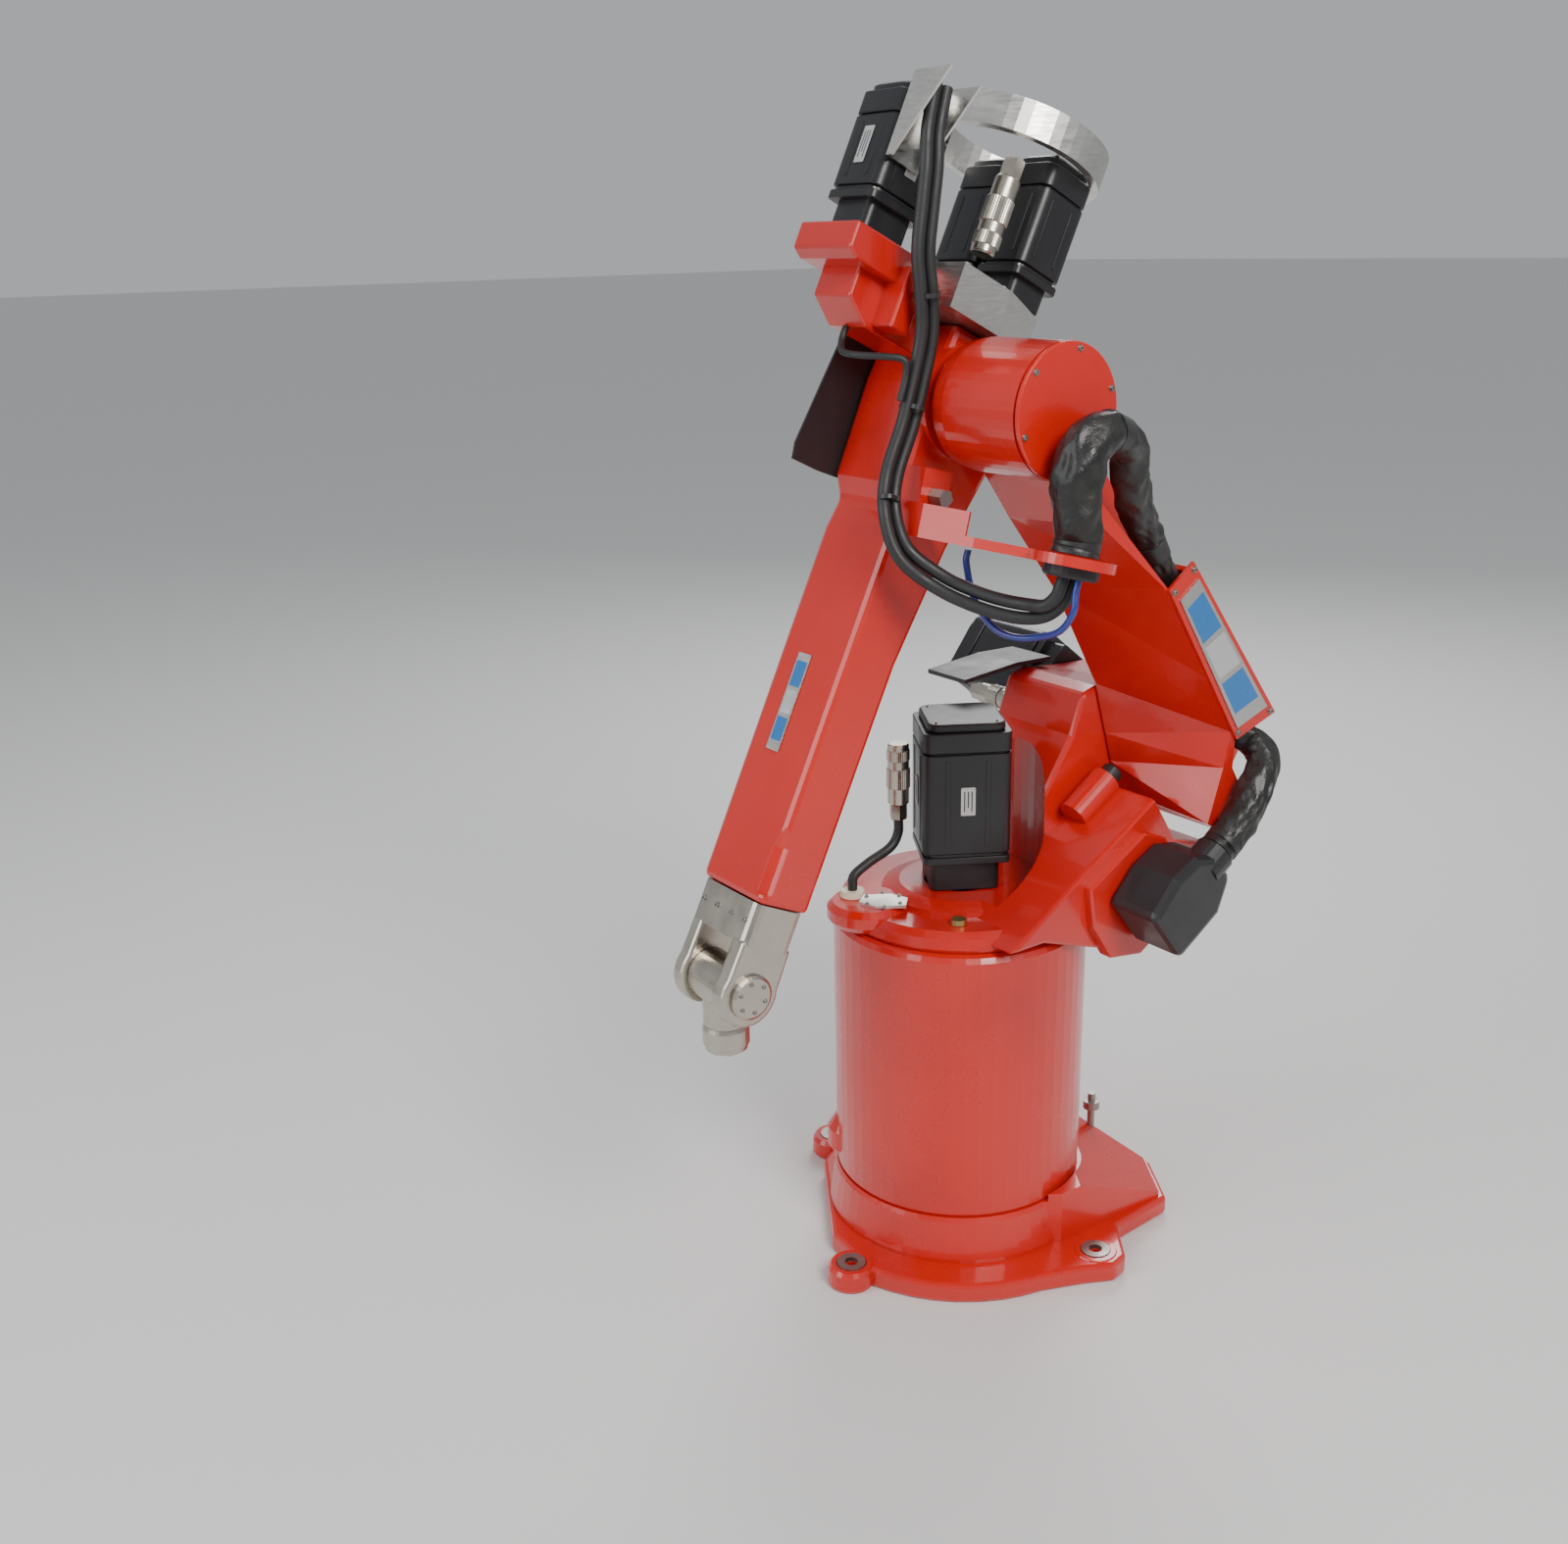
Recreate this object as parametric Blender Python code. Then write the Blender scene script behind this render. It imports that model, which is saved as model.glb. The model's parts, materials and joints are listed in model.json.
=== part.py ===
"""Six-axis robot arm with a cylindrical column, modelled as separate bodies on real joint axes.

Frame: origin where the column axis meets the plane of the feet, +Z up, +X the way the arm points
and +Y the side of the elbow cap.  Every moving body hangs under an empty on its joint's axis.
"""
import math

import bmesh
import bpy
from mathutils import Matrix, Vector

# ---------------------------------------------------------------- driving dimensions (metres)
GAP = 0.0004                 # air left between neighbouring solids
BASE_YAW = math.radians(-33.0)

FOOT_PITCH = 0.350           # spacing of the foot holes, both ways
FLANGE_R = 0.242
FRONT_X = 0.196              # front edge of the base plate
STUD = (-0.225, -0.088, 0.0)
FLANGE_H = 0.030
SKIRT_TOP = 0.098
COLUMN_R = 0.180
COLUMN_WALL = 0.011
COLUMN_TOP = 0.500
DECK_TOP = 0.528
EAR_TOP = 0.5365
SEAT_TOP = 0.542              # the turned seat of the axis 1 motor

A2_X = -0.270                # shoulder axis
A2_Z = 0.700
ARM_LENGTH = 0.604           # shoulder axis to elbow axis
ARM_LEAN = math.radians(33.2)
HUB_R = 0.082
HUB_Y0 = 0.088
ARM_Y0 = 0.085
ARM_Y1 = 0.240

PLATE_X = -0.049              # centre of the round cable plate
PLATE_Y = 0.286
BRACKET_Z = (-0.178, -0.166)
BRACKET_TILT = 11.0

EAR = (0.142, -0.032, 0.0)      # the deck's ear with the cable entry
BUSH = (0.150, -0.054, 0.0)
PLUG = (0.088, 0.098, 0.0)

STOP_Y = 0.108                # the bumper that stops axis 2 going forward
STOP_Z = 0.036

ELBOW_R = 0.079
ELBOW_Y0 = 0.076
FOREARM_LEAN = math.radians(-25.9)
FOREARM_REACH = 0.782        # elbow axis to wrist bend axis
TUBE_HALF_Y = 0.066
TUBE_HALF_X = 0.040
TUBE_END = 0.118             # above the wrist bend axis
BORE_R = 0.029

HAND_DROP = 0.094            # wrist bend axis to tool flange face
CHEEK_R = 0.043

SEGMENTS = 40

ELBOW = Vector((A2_X + ARM_LENGTH * math.sin(ARM_LEAN), 0.0,
                A2_Z + ARM_LENGTH * math.cos(ARM_LEAN)))
WRIST = ELBOW - FOREARM_REACH * Vector((math.sin(FOREARM_LEAN), 0.0, math.cos(FOREARM_LEAN)))


# ---------------------------------------------------------------- materials
def material(name, colour, roughness, metallic=0.0):
    made = bpy.data.materials.new(name)
    made.use_nodes = True
    shader = made.node_tree.nodes["Principled BSDF"]
    shader.inputs["Base Color"].default_value = (*colour, 1.0)
    shader.inputs["Roughness"].default_value = roughness
    shader.inputs["Metallic"].default_value = metallic
    return made


RED = (0.72, 0.035, 0.012)
BLACK = (0.012, 0.012, 0.013)
ALUMINIUM = (0.62, 0.61, 0.58)
NICKEL = (0.42, 0.39, 0.34)
STEEL = (0.32, 0.31, 0.30)
RUBBER = (0.015, 0.015, 0.016)
BLUE = (0.02, 0.12, 0.42)
BRASS = (0.55, 0.42, 0.16)
CREAM = (0.75, 0.68, 0.50)
HOSE = (0.012, 0.02, 0.16)

FINISH = {RED: (0.28, 0.0), BLACK: (0.45, 0.0), ALUMINIUM: (0.35, 1.0), NICKEL: (0.38, 1.0),
          STEEL: (0.5, 1.0), RUBBER: (0.6, 0.0), BLUE: (0.35, 0.0), BRASS: (0.35, 1.0),
          CREAM: (0.55, 0.0), HOSE: (0.4, 0.0)}


# ---------------------------------------------------------------- shape helpers
def mesh_prism(outline, low, high, axis="y", far=None):
    """A closed outline across the axis, drawn from low to high; far is its shape at high."""
    def place(point, level):
        a, b = point
        return {"x": (level, a, b), "y": (a, level, b), "z": (a, b, level)}[axis]
    made = bmesh.new()
    floor = [made.verts.new(place(point, low)) for point in outline]
    roof = [made.verts.new(place(point, high)) for point in (far or outline)]
    made.faces.new(floor)
    made.faces.new(roof)
    for i in range(len(outline)):
        j = (i + 1) % len(outline)
        if far:
            made.faces.new((floor[i], floor[j], roof[j]))
            made.faces.new((floor[i], roof[j], roof[i]))
        else:
            made.faces.new((floor[i], floor[j], roof[j], roof[i]))
    bmesh.ops.recalc_face_normals(made, faces=made.faces)
    return made


def mesh_box(low, high):
    (x0, y0, z0), (x1, y1, z1) = low, high
    return mesh_prism([(x0, y0), (x1, y0), (x1, y1), (x0, y1)], z0, z1, "z")


def mesh_turned(profile, axis="z", centre=(0.0, 0.0, 0.0), segments=SEGMENTS, ring=False):
    """A profile of (radius, height) pairs turned round an axis; ring closes it round a hole."""
    made = bmesh.new()
    loops = []
    for radius, height in profile:
        loop = []
        for k in range(segments):
            turn = 2.0 * math.pi * k / segments
            a = radius * math.cos(turn)
            b = radius * math.sin(turn)
            spot = {"x": (height, a, b), "y": (a, height, b), "z": (a, b, height)}[axis]
            loop.append(made.verts.new(Vector(spot) + Vector(centre)))
        loops.append(loop)
    pairs = list(zip(loops, loops[1:]))
    if ring:
        pairs.append((loops[-1], loops[0]))
    else:
        made.faces.new(loops[0])
        made.faces.new(loops[-1])
    for first, second in pairs:
        for k in range(segments):
            n = (k + 1) % segments
            made.faces.new((first[k], first[n], second[n], second[k]))
    bmesh.ops.recalc_face_normals(made, faces=made.faces)
    return made


def mesh_rod(radius, low, high, axis="z", centre=(0.0, 0.0, 0.0), segments=SEGMENTS):
    return mesh_turned([(radius, low), (radius, high)], axis, centre, segments)


def mesh_pipe(outer, inner, low, high, axis="z", centre=(0.0, 0.0, 0.0), segments=SEGMENTS):
    profile = [(outer, low), (outer, high), (inner, high), (inner, low)]
    return mesh_turned(profile, axis, centre, segments, ring=True)


def smooth_route(points, per_span):
    """A Catmull-Rom curve through the route's own points."""
    spots = [Vector(p) for p in points]
    ends = [2 * spots[0] - spots[1]] + spots + [2 * spots[-1] - spots[-2]]
    route = []
    for i in range(1, len(ends) - 2):
        p0, p1, p2, p3 = ends[i - 1:i + 3]
        for k in range(per_span):
            t = k / per_span
            route.append(0.5 * ((2 * p1) + (p2 - p0) * t + (2 * p0 - 5 * p1 + 4 * p2 - p3) * t * t
                                + (3 * p1 - p0 - 3 * p2 + p3) * t ** 3))
    route.append(spots[-1])
    return route


def mesh_sleeve(points, radii, wide=Vector((0.0, 1.0, 0.0)), sides=16, per_span=4):
    """A closed solid along a curve with elliptical sections; radii are (across, along wide)."""
    route = smooth_route(points, per_span)
    made = bmesh.new()
    loops = []
    for i, spot in enumerate(route):
        ahead = (route[min(i + 1, len(route) - 1)] - route[max(i - 1, 0)]).normalized()
        side = (wide - ahead * wide.dot(ahead)).normalized()
        lift = ahead.cross(side)
        place = i / per_span
        low = min(int(place), len(radii) - 2)
        mix = place - low
        across = radii[low][0] * (1 - mix) + radii[low + 1][0] * mix
        broad = radii[low][1] * (1 - mix) + radii[low + 1][1] * mix
        loop = []
        for k in range(sides):
            turn = 2.0 * math.pi * k / sides
            loop.append(made.verts.new(spot + lift * across * math.cos(turn)
                                       + side * broad * math.sin(turn)))
        loops.append(loop)
    made.faces.new(loops[0])
    made.faces.new(loops[-1])
    for first, second in zip(loops, loops[1:]):
        for k in range(sides):
            n = (k + 1) % sides
            made.faces.new((first[k], first[n], second[n], second[k]))
    bmesh.ops.recalc_face_normals(made, faces=made.faces)
    return made


def rounded_box(half_a, half_b, corner, steps=3):
    """The outline of a rectangle with round corners, centred on the axis it is extruded along."""
    outline = []
    for sign_a, sign_b, start in ((1, 1, 0), (-1, 1, 90), (-1, -1, 180), (1, -1, 270)):
        for k in range(steps + 1):
            turn = math.radians(start + 90.0 * k / steps)
            outline.append((sign_a * (half_a - corner) + corner * math.cos(turn),
                            sign_b * (half_b - corner) + corner * math.sin(turn)))
    return outline


def arc(centre, radius, start, stop, steps):
    """Points of an arc in degrees, both ends included."""
    points = []
    for k in range(steps + 1):
        turn = math.radians(start + (stop - start) * k / steps)
        points.append((centre[0] + radius * math.cos(turn), centre[1] + radius * math.sin(turn)))
    return points


def empty(name, location, parent=None, lean=0.0, yaw=0.0):
    made = bpy.data.objects.new(name, None)
    bpy.context.collection.objects.link(made)
    made.location = location
    made.rotation_euler = (0.0, lean, yaw)
    made.parent = parent
    return made


def solid(name, mesh_maker, colour, parent, bevel=0.0, place=None):
    """One named piece in its body's own frame, with its own material."""
    mesh = bpy.data.meshes.new(name)
    if place is not None:
        bmesh.ops.transform(mesh_maker, matrix=place, verts=mesh_maker.verts)
    mesh_maker.to_mesh(mesh)
    mesh_maker.free()
    mesh.shade_smooth()
    mesh.set_sharp_from_angle(angle=math.radians(32.0))
    made = bpy.data.objects.new(name, mesh)
    bpy.context.collection.objects.link(made)
    made.parent = parent
    mesh.materials.append(material(name, colour, *FINISH[colour]))
    if bevel:
        edge = made.modifiers.new("edge", "BEVEL")
        edge.width = bevel
        edge.segments = 2
        edge.limit_method = "ANGLE"
        edge.angle_limit = math.radians(40.0)
    return made


def work(target, mesh_maker, operation="DIFFERENCE", place=None, bevel=0.0):
    """Cut the target with a hidden tool, or join the tool to it."""
    tool = solid(target.name + "_tool", mesh_maker, STEEL, target.parent, bevel, place)
    tool.hide_render = True
    tool.display_type = "WIRE"
    step = target.modifiers.new(operation.lower(), "BOOLEAN")
    step.operation = operation
    step.solver = "EXACT"
    step.object = tool
    return target


def cable(name, points, radius, colour, parent, per_span=4):
    """A round cable along its route, as a bevelled poly curve with filled ends."""
    route = smooth_route(points, per_span)
    curve = bpy.data.curves.new(name, "CURVE")
    curve.dimensions = "3D"
    curve.bevel_depth = radius
    curve.bevel_resolution = 2
    curve.use_fill_caps = True
    spline = curve.splines.new("POLY")
    spline.points.add(len(route) - 1)
    for knot, spot in zip(spline.points, route):
        knot.co = (*spot, 1.0)
    made = bpy.data.objects.new(name, curve)
    bpy.context.collection.objects.link(made)
    made.parent = parent
    curve.materials.append(material(name, colour, *FINISH[colour]))
    return made


def servo(name, parent, place, half, length, neck, neck_half):
    """A square servo motor: neck flange, body with chamfered corners and stepped end cap."""
    body = rounded_box(half, half, 0.012, 1)
    motor = solid(name, mesh_prism(body, neck + GAP, length, "z"), BLACK, parent, 0.0, place)
    work(motor, mesh_prism(rounded_box(neck_half, neck_half, 0.01, 1), 0.0, neck + 0.004, "z"),
         "UNION", place)
    cap = rounded_box(half * 0.9, half * 0.9, 0.012, 1)
    work(motor, mesh_prism(cap, length - 0.004, length + 0.012, "z"), "UNION", place)
    return motor


# ---------------------------------------------------------------- base, fixed to the floor
def flange_outline():
    """The base plate: wide at the sides, cut back at the front and drawn out to the rear box."""
    side = arc((0.0, 0.0), FLANGE_R, 52.0, 112.0, 8)
    ear = [(-0.150, 0.214), (-0.196, 0.210), (-0.216, 0.190), (-0.222, 0.116), (-0.312, 0.050)]
    half = [(FRONT_X, 0.0), (FRONT_X, 0.100)] + side + ear
    return half + [(x, -y) for x, y in reversed(half[1:])]


def hidden(name, mesh_maker, parent):
    """A tool that is itself shaped by another before it is used."""
    made = solid(name, mesh_maker, STEEL, parent)
    made.hide_render = True
    made.display_type = "WIRE"
    return made


def join(target, tool, operation):
    step = target.modifiers.new(operation.lower(), "BOOLEAN")
    step.operation = operation
    step.solver = "EXACT"
    step.object = tool


def build_base():
    frame = empty("base_frame", (0.0, 0.0, 0.0), yaw=BASE_YAW)
    half = FOOT_PITCH / 2
    base = solid("base_casting", mesh_prism(flange_outline(), 0.0, FLANGE_H, "z"), RED, frame,
                 0.006)
    skirt = [(COLUMN_R + 0.008, 0.002), (COLUMN_R + 0.012, FLANGE_H + 0.006),
             (COLUMN_R + 0.004, SKIRT_TOP - 0.006), (COLUMN_R + 0.001, SKIRT_TOP)]
    work(base, mesh_turned(skirt, segments=56), "UNION")
    corners = [(sx, sy) for sx in (-1, 1) for sy in (-1, 1)]
    for sx, sy in corners:
        foot = mesh_turned([(0.031, 0.0), (0.034, 0.005), (0.033, 0.026), (0.029, FLANGE_H + 0.002)],
                           centre=(sx * half, sy * half, 0.0), segments=24)
        work(base, foot, "UNION")
    slope = [(-0.02, 0.012), (-0.300, 0.012), (-0.300, 0.038), (-0.160, SKIRT_TOP + 0.012),
             (-0.02, SKIRT_TOP + 0.012)]
    narrow = [(0.0, -0.150), (-0.130, -0.150), (-0.306, -0.044), (-0.306, 0.044),
              (-0.130, 0.150), (0.0, 0.150)]
    ramp = hidden("base_ramp_tool", mesh_prism(slope, -0.160, 0.160, "y"), frame)
    work(ramp, mesh_prism(narrow, 0.0, 0.2, "z"), "INTERSECT")
    join(base, ramp, "UNION")
    work(base, mesh_rod(COLUMN_R + 0.006, SKIRT_TOP, 0.2, segments=56))
    for sx, sy in corners:
        spot = (sx * half, sy * half, 0.0)
        work(base, mesh_rod(0.0085, -0.01, 0.06, centre=spot, segments=20))
        work(base, mesh_rod(0.0215, FLANGE_H - 0.004, 0.06, centre=spot, segments=24))
        side = ("front" if sx > 0 else "rear") + "_" + ("left" if sy > 0 else "right")
        seat = FLANGE_H - 0.004 + GAP
        solid("foot_washer_" + side, mesh_pipe(0.0205, 0.0095, seat, seat + 0.007,
                                               centre=spot, segments=24), STEEL, frame)
    work(base, mesh_rod(0.0062, 0.040, 0.2, centre=STUD, segments=12))
    stud = [(0.0058, 0.0405), (0.0058, 0.108), (0.013, 0.1085), (0.013, 0.121), (0.006, 0.122),
            (0.006, 0.134)]
    solid("rear_stud", mesh_turned(stud, centre=STUD, segments=12), STEEL, frame)
    reducer = [(0.118, SKIRT_TOP + GAP), (0.118, 0.16), (0.100, 0.17), (0.100, 0.36)]
    solid("a1_reducer", mesh_turned(reducer, segments=32), STEEL, frame)
    solid("a1_bearing_outer_ring", mesh_pipe(0.150, 0.138, SKIRT_TOP + GAP, 0.135, segments=36),
          STEEL, frame)


# ---------------------------------------------------------------- column, turns on the base
def build_column():
    frame = empty("a1_axis", (0.0, 0.0, 0.0))
    inner = COLUMN_R - COLUMN_WALL
    low = SKIRT_TOP + 0.0012
    bell = [(COLUMN_R - 0.002, low), (COLUMN_R, low + 0.004), (COLUMN_R, COLUMN_TOP - 0.010),
            (COLUMN_R - 0.004, COLUMN_TOP - 0.003), (COLUMN_R - 0.010, COLUMN_TOP),
            (0.050, COLUMN_TOP), (0.050, COLUMN_TOP - 0.03), (inner - 0.02, COLUMN_TOP - 0.03),
            (inner, COLUMN_TOP - 0.05), (inner, low)]
    shell = solid("column_shell", mesh_turned(bell, segments=56, ring=True), RED, frame)
    lug_turn = Matrix.Rotation(math.radians(-34.0), 4, "Z")
    lug = mesh_turned([(0.030, 0.113), (0.036, 0.121), (0.036, 0.150), (0.020, 0.176)],
                      centre=(COLUMN_R - 0.022, 0.0, 0.0), segments=24)
    work(shell, lug, "UNION", lug_turn)
    work(shell, mesh_rod(inner - 0.003, 0.09, 0.2, segments=56))
    solid("a1_bearing_inner_ring", mesh_pipe(inner - 0.004, 0.1525, 0.104, 0.135, segments=36),
          STEEL, frame)
    solid("a1_output_flange", mesh_turned([(0.080, 0.362), (0.080, 0.40), (0.045, 0.41),
                                           (0.045, COLUMN_TOP)], segments=28), STEEL, frame)
    build_head(frame)
    build_column_drives(frame)
    build_cable_cover(frame)
    return frame


def build_head(frame):
    """The casting on the column: deck, motor seat, cable bulb, shoulder wall and hub cradle."""
    low = COLUMN_TOP + GAP
    deck = [(COLUMN_R - 0.012, low), (COLUMN_R - 0.008, low + 0.006),
            (COLUMN_R - 0.012, DECK_TOP - 0.008), (COLUMN_R - 0.022, DECK_TOP)]
    head = solid("shoulder_casting", mesh_turned(deck, segments=56), RED, frame)
    seat = [(0.112, DECK_TOP - 0.01), (0.110, DECK_TOP + 0.006), (0.092, DECK_TOP + 0.012),
            (0.086, SEAT_TOP)]
    work(head, mesh_turned(seat, segments=40), "UNION")
    ear = [(0.050, 0.506), (0.056, 0.514), (0.056, EAR_TOP - 0.008), (0.048, EAR_TOP)]
    work(head, mesh_turned(ear, centre=EAR, segments=32), "UNION")
    wall = [(0.060, 0.512), (-0.060, 0.640), (-0.130, 0.745), (-0.150, 0.800), (-0.176, 0.808),
            (-0.236, 0.800), (-0.325, 0.795), (-0.352, 0.700), (-0.335, 0.640), (-0.262, 0.560),
            (-0.150, 0.512)]
    work(head, mesh_prism(wall, -0.070, ARM_Y0 - 0.003, "y"), "UNION", bevel=0.006)
    cradle = [(0.080, 0.512), (-0.060, 0.600), (-0.130, 0.640), (-0.182, 0.672), (-0.230, 0.600),
              (-0.300, 0.580), (-0.290, 0.530), (-0.150, 0.468), (-0.098, 0.470), (0.020, 0.512)]
    work(head, mesh_prism(cradle, 0.02, 0.192, "y"), "UNION", bevel=0.005)
    plate = [(-0.050, 0.575), (-0.150, 0.632), (-0.195, 0.615), (-0.245, 0.560), (-0.235, 0.500),
             (-0.155, 0.452), (-0.095, 0.462), (-0.060, 0.515)]
    work(head, mesh_prism(plate, 0.183, 0.206, "y"), "UNION", bevel=0.003)
    work(head, mesh_rod(COLUMN_R + 0.003, 0.40, COLUMN_TOP + GAP, segments=56))
    work(head, mesh_rod(0.116, SEAT_TOP + 0.0001, 0.95, segments=48))
    hub = mesh_rod(HUB_R + 0.007, HUB_Y0 - 0.004, 0.30, "y", (A2_X, 0.0, A2_Z), 48)
    work(head, hub)
    boss = Matrix.Translation((A2_X, STOP_Y, A2_Z)) @ Matrix.Rotation(ARM_LEAN, 4, "Y")
    work(head, mesh_rod(0.022, 0.0915, 0.166, "x", (0.0, 0.0, STOP_Z), 24), "UNION", boss)
    work(head, mesh_rod(0.0165, 0.060, 0.0912, "x", (0.0, 0.0, STOP_Z), 20), place=boss)
    solid("stop_bumper", mesh_turned([(0.0125, 0.0735), (0.0150, 0.0760), (0.0150, 0.0910)], "x",
                                     (0.0, 0.0, STOP_Z), 20), RUBBER, frame, place=boss)
    work(head, mesh_rod(0.058, -0.08, 0.10, "y", (A2_X, 0.0, A2_Z), 40))
    work(head, mesh_rod(0.014, DECK_TOP - 0.012, 0.70, centre=BUSH, segments=20))
    work(head, mesh_rod(0.0508, 0.49, 0.70, segments=40))
    work(head, mesh_rod(0.007, DECK_TOP - 0.010, 0.60, centre=PLUG, segments=16))


def build_column_drives(frame):
    bush_top = EAR_TOP + 0.009
    solid("cable_bush", mesh_turned([(0.0132, DECK_TOP - 0.008), (0.0132, EAR_TOP + GAP),
                                     (0.018, EAR_TOP + 0.0008), (0.016, bush_top)],
                                    centre=BUSH, segments=20), CREAM, frame)
    outline = [(0.034, 0.004), (0.012, 0.022), (-0.030, 0.020), (-0.034, -0.006), (-0.010, -0.022),
               (0.026, -0.020)]
    lay = Matrix.Translation((0.134, -0.006, 0.0)) @ Matrix.Rotation(math.radians(-36.0), 4, "Z")
    solid("inspection_plate", mesh_prism(outline, EAR_TOP + GAP, EAR_TOP + 0.005, "z"),
          ALUMINIUM, frame, place=lay)
    solid("oil_plug", mesh_turned([(0.0066, DECK_TOP - 0.008), (0.0066, DECK_TOP + 0.0004),
                                   (0.0115, DECK_TOP + 0.0008), (0.010, DECK_TOP + 0.008)],
                                  centre=PLUG, segments=12), BRASS, frame)
    turn = Matrix.Rotation(math.radians(58.0), 4, "Z")
    base = SEAT_TOP + GAP
    stand = Matrix.Translation((0.0, 0.0, base)) @ turn
    servo("a1_motor", frame, stand, 0.061, 0.230, 0.044, 0.048)
    solid("a1_motor_shaft", mesh_rod(0.012, COLUMN_TOP + GAP, base - GAP, segments=16),
          STEEL, frame)
    hood = Matrix.Translation((0.071, -0.050, -0.006))
    solid("a1_connector", mesh_turned([(0.011, 0.640), (0.0145, 0.646), (0.0145, 0.690),
                                       (0.0165, 0.694), (0.0165, 0.745), (0.014, 0.750)],
                                      segments=20), NICKEL, frame, place=hood)
    cable("a1_motor_cable", [(0.071, -0.050, 0.6335), (0.072, -0.050, 0.612),
                             (0.086, -0.050, 0.594), (0.122, -0.052, 0.580),
                             (BUSH[0] - 0.003, BUSH[1], 0.566), (BUSH[0], BUSH[1], bush_top + 0.006),
                             (BUSH[0], BUSH[1], bush_top + 0.001)], 0.0068, BLACK, frame)
    solid("a2_reducer", mesh_turned([(0.0572, -0.066), (0.0572, 0.078), (0.040, 0.078),
                                     (0.040, 0.083)], "y", (A2_X, 0.0, A2_Z), 32), STEEL, frame)
    lay = (Matrix.Translation((-0.272, -0.0705, 0.765))
           @ Matrix.Rotation(math.radians(90.0), 4, "X")
           @ Matrix.Rotation(math.radians(38.0), 4, "Z"))
    servo("a2_motor", frame, lay, 0.054, 0.190, 0.030, 0.044)
    solid("a2_connector", mesh_turned([(0.013, -0.165), (0.0165, -0.158), (0.0165, -0.110),
                                       (0.0145, -0.106), (0.0145, -0.072)], "y",
                                      (-0.172, 0.0, 0.752), 20), NICKEL, frame)
    tray = [(-0.215, 0.8125), (-0.150, 0.8145), (-0.050, 0.806), (-0.050, 0.812), (-0.148, 0.8205),
            (-0.215, 0.8185)]
    solid("a2_cable_tray", mesh_prism(tray, -0.130, -0.050, "y"), BLACK, frame)


def build_cable_cover(frame):
    side = [(-0.080, 0.552), (-0.123, 0.598), (-0.163, 0.618), (-0.207, 0.610), (-0.231, 0.574),
            (-0.212, 0.526), (-0.138, 0.478)]
    cover = solid("cable_cover", mesh_prism(side, 0.206 + GAP, 0.292, "y"), BLACK, frame, 0.010)
    collar = Matrix.Translation((-0.2221, 0.267, 0.6058)) @ Matrix.Rotation(
        math.radians(-57.0), 4, "Y")
    work(cover, mesh_rod(0.028, -0.034, -0.0006, segments=24), "UNION", collar)


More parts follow.
